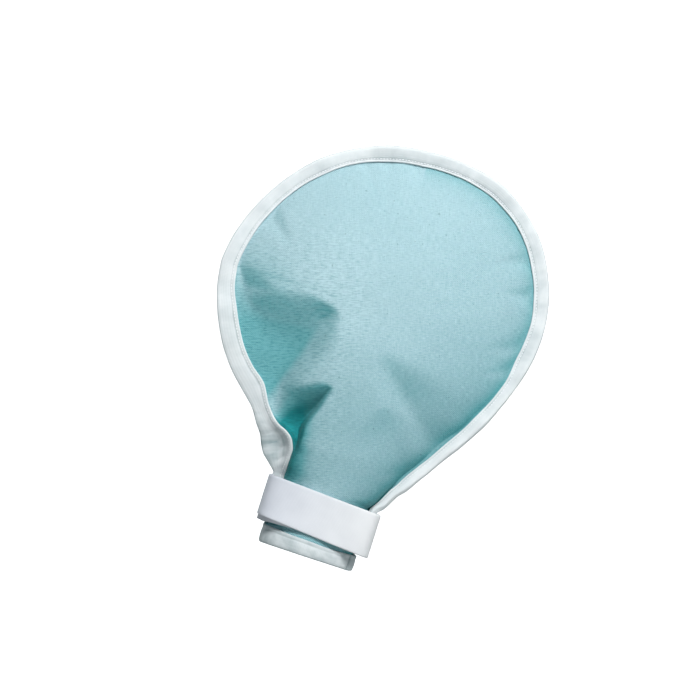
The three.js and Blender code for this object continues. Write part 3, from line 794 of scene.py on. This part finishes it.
def edge_tape():
    part, height = TAPE_SECTION["part"], TAPE_SECTION["height"]
    inner_part = np.linspace(TAPE_INSIDE_ENDS, 0.0, 5)
    inner = np.full(5, TAPE_INSIDE)
    parts = np.concatenate([part, part[-2::-1], inner_part[::-1], inner_part])
    heights = np.concatenate([height, -height[-2::-1], -inner, inner])
    kept = slice(TAPE_FIRST, BORDER - TAPE_FIRST)
    stations = np.stack([edge_point(p, h)[kept] for p, h in zip(parts, heights)], 1)
    spots, faces = swept(stations)
    lay = np.concatenate([[0], np.cumsum(np.linalg.norm(np.diff(stations[0], axis=0), axis=1))])
    flat_cut = np.stack(np.broadcast_arrays(run[kept][:, None], lay[None, :]), -1).reshape(-1, 2)
    # Painted shade: the groove and inner edge, the grey on the way round, and the curl's grey with its
    # lighter lobe and lip.
    groove = np.concatenate([TAPE_SECTION["deep"], TAPE_SECTION["deep"][-2::-1], 0 * inner, 0 * inner])
    curl = np.clip(crease[kept] / CURL_FULL, 0, 1)[:, None]
    lobe = np.clip((LOBE_ENDS - parts) / LOBE_FADE, 0, 1)[None, :]
    tucked = TUCK_LINE_SHADE * np.exp(-((parts - TUCK_LINE) / TUCK_LINE_WIDE) ** 2)
    rim = RIM_LESS_SHADE * np.exp(-(parts / RIM_WIDE) ** 2)
    band = np.clip(1 - ((parts - BAND_MIDDLE) / BAND_HALF) ** 2, 0, 1)
    grey = np.interp(run[kept] / run[-1], TAPE_GREY["way"], TAPE_GREY["grey"])
    painted_shading = grey[:, None] * (BAND_LEAST + (1 - BAND_LEAST) * band)[None, :]
    curl_shade = curl * (CURL_SHADE - LOBE_LESS_SHADE * lobe + tucked - rim)
    deep = np.maximum(groove[None, :] * GROOVE_SHADE + painted_shading, curl_shade)
    return cloth_piece("edge_tape", spots, faces, flat_cut, WHITE_TAPE, deep.ravel())


tape = edge_tape()
print(f"edge tape {len(tape.data.polygons)} faces")

# %% [markdown]
# ## Cuff tape
# The same tape goes round the open end. It is a ring with a folded section: how far each point lies off
# the cloth's oval, and its height. The cloth is gathered by the strap above it, so the ring is not a clean
# oval: it has one small pleat at the right, which is a bulge with a narrow slit beside it.

# %% Cuff tape
CUFF_HEIGHT = 13.0
CUFF_MEAN = 27
CUFF_STATIONS = 480
CUFF_GREY = 0.4
CUFF_SLOPE, CUFF_TOP_SLOPE = -0.015, -0.03
PLEAT_AT, PLEAT_WIDE, PLEAT_OUT = -9, 8, 1.6
SLIT_AT, SLIT_WIDE, SLIT_IN = -23, 1.6, 2.4
OUTER_FROM, OUTER_OVER = 0.3, 1.6
CUFF_SECTION = table("off z", [
    (1.3, 13.0), (1.8, 13.25), (2.35, 13.0), (2.55, 12.0), (2.4, 10.6), (2.2, 10.2), (2.4, 9.7),
    (2.6, 7.5), (2.55, 4.0), (2.3, 1.6), (1.8, 0.6), (1.0, 0.1), (0.5, 0.0), (0.0, 0.1), (-0.8, 0.6),
    (-1.2, 1.6), (-1.3, 4.0), (-1.3, 9.0), (-1.25, 12.5), (-0.8, 13.1), (-0.3, 12.9), (-0.3, 6.0),
    (-0.3, 1.0), (1.3, 1.0), (1.3, 6.0),
])


def cuff_tape():
    angle = np.linspace(0, 2 * np.pi, CUFF_STATIONS, endpoint=False)
    oval = np.stack([CUFF_HALF * np.cos(angle), CUFF_DEPTH * np.sin(angle)], -1)
    away = unit(np.stack([np.cos(angle) / CUFF_HALF, np.sin(angle) / CUFF_DEPTH], -1))
    off, z = CUFF_SECTION["off"], CUFF_SECTION["z"]
    sway = 0.25 * np.sin(3 * angle + 0.8) + 0.15 * np.sin(7 * angle) + CUFF_TOP_SLOPE * oval[:, 0]
    turn = np.degrees(np.angle(np.exp(1j * angle)))
    slit = np.exp(-((turn - SLIT_AT) / SLIT_WIDE) ** 2)
    pleat = PLEAT_OUT * np.exp(-((turn - PLEAT_AT) / PLEAT_WIDE) ** 2) - SLIT_IN * slit
    outer = np.clip(off - OUTER_FROM, 0, OUTER_OVER) / OUTER_OVER
    spread = oval[:, None, :] + away[:, None, :] * (off[None, :] + pleat[:, None] * outer[None, :])[..., None]
    level = z[None, :] + sway[:, None] * (z[None, :] / CUFF_HEIGHT) + CUFF_SLOPE * oval[:, :1]
    stations = np.concatenate([spread, level[..., None]], -1)
    spots, faces = swept(stations, ring=True)
    lay = np.concatenate([[0], np.cumsum(np.hypot(np.diff(off), np.diff(z)))])
    flat_cut = np.stack(np.broadcast_arrays((angle * CUFF_MEAN)[:, None], lay[None, :]), -1).reshape(-1, 2)
    # Painted shade: the slit beside the pleat is greyed fully on its outer layers; the rest of the cuff tape
    # gets the even grey CUFF_GREY.
    deep = CUFF_GREY + (1 - CUFF_GREY) * slit[:, None] * outer[None, :]
    return cloth_piece("cuff_tape", spots, faces, flat_cut, WHITE_TAPE, deep.ravel())


cuff = cuff_tape()
print(f"cuff tape {len(cuff.data.polygons)} faces")

# %% [markdown]
# ## Wrist strap
# The strap is one flat band on a rounded oblong. It goes once round the neck and its end laps over its start
# at the back. Its edges are rounded and a little thicker, as a woven edge is. At the left the lower edge of
# the first turn shows below the outer one, and there the strap is painted a little greyer as shade.

# %% Wrist strap
STRAP = {"height": 30.5, "middle_x": 1.2, "middle_z": 32.6, "slope": -0.059, "back_drop": 3.0, "flare": 0.03,
         "half_width": 40.0, "depth": 23.4, "square": 5.2, "start": 100, "sweep": 405, "stations": 320,
         "lap_from": 300, "lap_over": 52, "wall": 2.0, "under": 3.4, "under_from": -12, "under_over": 26,
         "shade_over": 70}
STRAP_SECTION = table("out up under", [
    (0.1, -0.47, 1), (0.0, -0.3, 0), (0.0, 0.0, 0), (0.0, 0.3, 0), (0.1, 0.47, 0), (0.5, 0.5, 0),
    (0.8, 0.495, 0), (0.95, 0.475, 0), (0.98, 0.44, 0), (0.97, 0.40, 0), (0.98, 0.2, 0), (1.0, 0.0, 0),
    (0.98, -0.2, 0), (0.97, -0.40, 0), (0.98, -0.44, 0), (0.95, -0.475, 0), (0.8, -0.495, 0),
    (0.56, -0.48, 0), (0.46, -0.49, 1),
])


def wrist_strap():
    degrees = np.linspace(STRAP["start"], STRAP["start"] + STRAP["sweep"], STRAP["stations"])
    angle = np.radians(degrees)

    def squared(value):
        return np.sign(value) * np.abs(value) ** (2 / STRAP["square"])
    lap = np.clip((degrees - STRAP["start"] - STRAP["lap_from"]) / STRAP["lap_over"], 0, 1)
    lap = lap * lap * (3 - 2 * lap) * (STRAP["wall"] + GAP)

    def ring(grow):
        return np.stack([STRAP["middle_x"] + (STRAP["half_width"] + grow) * squared(np.cos(angle)),
                         (STRAP["depth"] + grow) * squared(np.sin(angle))], -1)
    aside = ring(lap)[:, 0] - STRAP["middle_x"]
    drop = STRAP["back_drop"] * (1 + squared(np.sin(angle))) / 2
    middle = STRAP["middle_z"] + STRAP["slope"] * aside - drop
    shown = np.clip((STRAP["under_from"] - aside) / STRAP["under_over"], 0, 1)
    shown = shown * (np.sin(angle) < 0.3) * STRAP["under"]

    def level(up, under):
        return middle + up * STRAP["height"] - STRAP["flare"] * aside * max(-2 * up, 0) - under * shown
    stations = np.stack([np.column_stack([ring(lap + share * STRAP["wall"]), level(up, under)])
                         for share, up, under in zip(*STRAP_SECTION.values())], 1)
    spots, faces = swept(stations)
    way = np.concatenate([[0], np.cumsum(np.linalg.norm(np.diff(stations[:, 0], axis=0), axis=1))])
    lay = STRAP_SECTION["up"] * STRAP["height"]
    flat_cut = np.stack(np.broadcast_arrays(way[:, None], lay[None, :]), -1)
    # Painted shade, stronger towards the strap's left end.
    painted_shading = np.repeat(np.clip(0.5 - aside / STRAP["shade_over"], 0, 1), stations.shape[1])
    return cloth_piece("neck_strap", spots, faces, flat_cut.reshape(-1, 2), WHITE_STRAP, painted_shading), way[-1]


strap, strap_length = wrist_strap()
print(f"strap {strap_length:.0f} mm long")

# %% [markdown]
# ## Stitches
# A sewing machine leaves the same stitch again and again, so Geometry Nodes place it. The path is a line
# of points in the groove of the tape, with the direction of the cloth's face stored on each point. The
# tree resamples the line at the stitch pitch, sets one small thread on each point, and makes it real.

# %% Stitch tree
STITCH = {"Pitch": 2.2 * MM, "Length": 1.9 * MM, "Thickness": 0.55 * MM}


def stitch_tree():
    tree = bpy.data.node_groups.new("lockstitch", "GeometryNodeTree")
    face = tree.interface
    face.new_socket("Path", in_out="INPUT", socket_type="NodeSocketGeometry")
    for name, value in STITCH.items():
        face.new_socket(name, in_out="INPUT", socket_type="NodeSocketFloat").default_value = value
    face.new_socket("Thread", in_out="INPUT", socket_type="NodeSocketMaterial")
    face.new_socket("Seed", in_out="INPUT", socket_type="NodeSocketInt").default_value = 7
    face.new_socket("Stitches", in_out="OUTPUT", socket_type="NodeSocketGeometry")
    new, link = tree.nodes.new, tree.links.new
    given, made = new("NodeGroupInput"), new("NodeGroupOutput")
    curve, spread = new("GeometryNodeMeshToCurve"), new("GeometryNodeResampleCurve")
    spread.mode = "LENGTH"
    way, facing = new("GeometryNodeInputTangent"), new("GeometryNodeInputNamedAttribute")
    facing.data_type = "FLOAT_VECTOR"
    facing.inputs["Name"].default_value = "facing"
    lie, stand = new("FunctionNodeAlignRotationToVector"), new("FunctionNodeAlignRotationToVector")
    lie.axis, stand.axis, stand.pivot_axis = "X", "Z", "X"
    thread, size = new("GeometryNodeMeshUVSphere"), new("ShaderNodeCombineXYZ")
    uneven = new("FunctionNodeRandomValue")
    thread.inputs["Segments"].default_value, thread.inputs["Rings"].default_value = 8, 5
    thread.inputs["Radius"].default_value = 0.5
    place, real = new("GeometryNodeInstanceOnPoints"), new("GeometryNodeRealizeInstances")
    finish = new("GeometryNodeSetMaterial")
    longer = new("ShaderNodeMath")
    longer.operation = "MULTIPLY"
    uneven.inputs[2].default_value, uneven.inputs[3].default_value = 0.92, 1.06
    link(given.outputs["Path"], curve.inputs["Mesh"])
    link(curve.outputs["Curve"], spread.inputs["Curve"])
    link(given.outputs["Pitch"], spread.inputs["Length"])
    link(way.outputs["Tangent"], lie.inputs["Vector"])
    link(lie.outputs["Rotation"], stand.inputs["Rotation"])
    link(facing.outputs["Attribute"], stand.inputs["Vector"])
    link(given.outputs["Seed"], uneven.inputs["Seed"])
    link(given.outputs["Length"], longer.inputs[0])
    link(uneven.outputs[1], longer.inputs[1])
    link(longer.outputs[0], size.inputs["X"])
    link(given.outputs["Thickness"], size.inputs["Y"])
    link(given.outputs["Thickness"], size.inputs["Z"])
    link(spread.outputs["Curve"], place.inputs["Points"])
    link(thread.outputs["Mesh"], place.inputs["Instance"])
    link(stand.outputs["Rotation"], place.inputs["Rotation"])
    link(size.outputs["Vector"], place.inputs["Scale"])
    link(place.outputs["Instances"], real.inputs["Geometry"])
    link(real.outputs["Geometry"], finish.inputs["Geometry"])
    link(given.outputs["Thread"], finish.inputs["Material"])
    link(finish.outputs["Geometry"], made.inputs["Stitches"])
    return tree


LOCKSTITCH = stitch_tree()
print("made", LOCKSTITCH.name)

# %% [markdown]
# ## Sewing the two rows
# Each row of stitches is evaluated once and kept as a plain mesh, so nothing live is left on it. One row
# lies in the front of the tape and one in the back.

# %% Rows of stitches
def stitch_row(name, spots, facing):
    mesh = bpy.data.meshes.new(name + "_path")
    count = len(spots)
    mesh.from_pydata((worn(spots) * MM).tolist(), [(i, i + 1) for i in range(count - 1)], [])
    layer = mesh.attributes.new("facing", "FLOAT_VECTOR", "POINT")
    layer.data.foreach_set("vector", facing.ravel())
    path = bpy.data.objects.new(name + "_path", mesh)
    bpy.context.collection.objects.link(path)
    sewing = path.modifiers.new("sewing", "NODES")
    sewing.node_group = LOCKSTITCH
    sockets = {s.name: s.identifier for s in LOCKSTITCH.interface.items_tree if s.in_out == "INPUT"}
    sewing[sockets["Thread"]] = WHITE_THREAD
    for socket, value in STITCH.items():
        sewing[sockets[socket]] = value
    bpy.context.view_layer.update()
    grown = path.evaluated_get(bpy.context.evaluated_depsgraph_get())
    plain = bpy.data.meshes.new_from_object(grown)
    path.modifiers.remove(sewing)
    bpy.data.objects.remove(path)
    plain.name = name
    plain.shade_smooth()
    row = bpy.data.objects.new(name, plain)
    bpy.context.collection.objects.link(row)
    return row


STITCH_IN, STITCH_UP, STITCH_ENDS = 2.1, 2.12, 3
sewn = slice(TAPE_FIRST + STITCH_ENDS, BORDER - TAPE_FIRST - STITCH_ENDS)
stitch_part = STITCH_IN / width
face = edge_face(stitch_part)[sewn]
front_row = stitch_row("edge_stitches_front", edge_point(stitch_part, STITCH_UP)[sewn], face)
back_row = stitch_row("edge_stitches_back", edge_point(stitch_part, -STITCH_UP)[sewn], -face)
print(f"{len(front_row.data.polygons)} and {len(back_row.data.polygons)} faces of thread")

# %% [markdown]
# ## Floor and light
# A white sweep that curves up behind the mitt leaves no horizon, and its far part glows, so that it stays
# white. A large soft light in front and above shapes the folds, a second one behind lights the edges, and a
# weak one at the lower right opens the folds. A pale, cool surround fills the rest.

# %% Floor and light
SWEEP_HALF, SWEEP_FRONT, SWEEP_BEND_FROM, SWEEP_RADIUS = 5.0, -4.0, 2.2, 1.2
SWEEP_LEVEL, SWEEP_TOP = -0.6, 4.5
GLOW_FROM, GLOW_OVER = 1.2, 0.9
MITT_MIDDLE = (0, 0, 0.15)


def white_sweep():
    paper = Finish("white_paper")
    place = paper.node("ShaderNodeTexCoord", None, None, output=3)
    _, behind, _ = paper.axes(place)
    glow = paper.blend(((behind - GLOW_FROM) / GLOW_OVER).clip(), (0, 0, 0, 1), (1, 1, 1, 1))
    paper.feed(paper.shader, {"Base Color": (0.82, 0.82, 0.82, 1), "Roughness": 0.95,
                              "Specular IOR Level": 0.1,
                              "Emission Color": glow, "Emission Strength": 1.0})
    profile = [(SWEEP_FRONT, SWEEP_LEVEL)]
    for turn in np.linspace(0, np.pi / 2, 24):
        profile.append((SWEEP_BEND_FROM + SWEEP_RADIUS * math.sin(turn),
                        SWEEP_LEVEL + SWEEP_RADIUS * (1 - math.cos(turn))))
    profile.append((SWEEP_BEND_FROM + SWEEP_RADIUS, SWEEP_TOP))
    spots = [(x, y, z) for y, z in profile for x in (-SWEEP_HALF, SWEEP_HALF)]
    faces = [(2 * i, 2 * i + 1, 2 * i + 3, 2 * i + 2) for i in range(len(profile) - 1)]
    mesh = bpy.data.meshes.new("white_sweep")
    mesh.from_pydata(spots, [], faces)
    mesh.shade_smooth()
    mesh.materials.append(paper.material)
    sweep = bpy.data.objects.new("white_sweep", mesh)
    bpy.context.collection.objects.link(sweep)
    return sweep


def soft_light(name, power, size, place, aim):
    lamp = bpy.data.lights.new(name, "AREA")
    lamp.energy = power
    lamp.shape = "SQUARE"
    lamp.size = size
    lamp.spread = math.radians(60)
    holder = bpy.data.objects.new(name, lamp)
    bpy.context.collection.objects.link(holder)
    holder.location = place
    holder.rotation_euler = (Vector(place) - Vector(aim)).to_track_quat("Z", "Y").to_euler()
    return holder


floor = white_sweep()
soft_light("key_light", 4.8, 0.6, (0.0, -1.42, 1.28), MITT_MIDDLE)
soft_light("back_light", 2.0, 0.8, (0.3, 1.5, 1.1), MITT_MIDDLE)
soft_light("low_light", 0.45, 0.7, (0.9, -1.1, -0.25), (0.03, 0, 0.06))
surround = bpy.data.worlds.new("pale_surround")
surround.use_nodes = True
sky = surround.node_tree.nodes["Background"]
sky.inputs["Color"].default_value = (0.72, 0.95, 1, 1)
sky.inputs["Strength"].default_value = 0.19
bpy.context.scene.world = surround
bpy.context.scene.view_settings.view_transform = "Standard"
print("floor and light ready")

# %% [markdown]
# ## Joining the looks to the part
# Every piece rides on the one body of the part, and the solid that it stands for is hidden.

# %% Join to the part
for piece, node, finish in ((front, "front_panel", "teal_cloth"), (back, "back_panel", "teal_cloth"),
                            (tape, "edge_binding", "white_tape"), (cuff, "cuff_binding", "white_tape"),
                            (strap, "wrist_strap", "white_strap")):
    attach(piece, "root")
    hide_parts(node)
for row in (front_row, back_row):
    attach(row, "root")
round(strap_length * MM, 3)
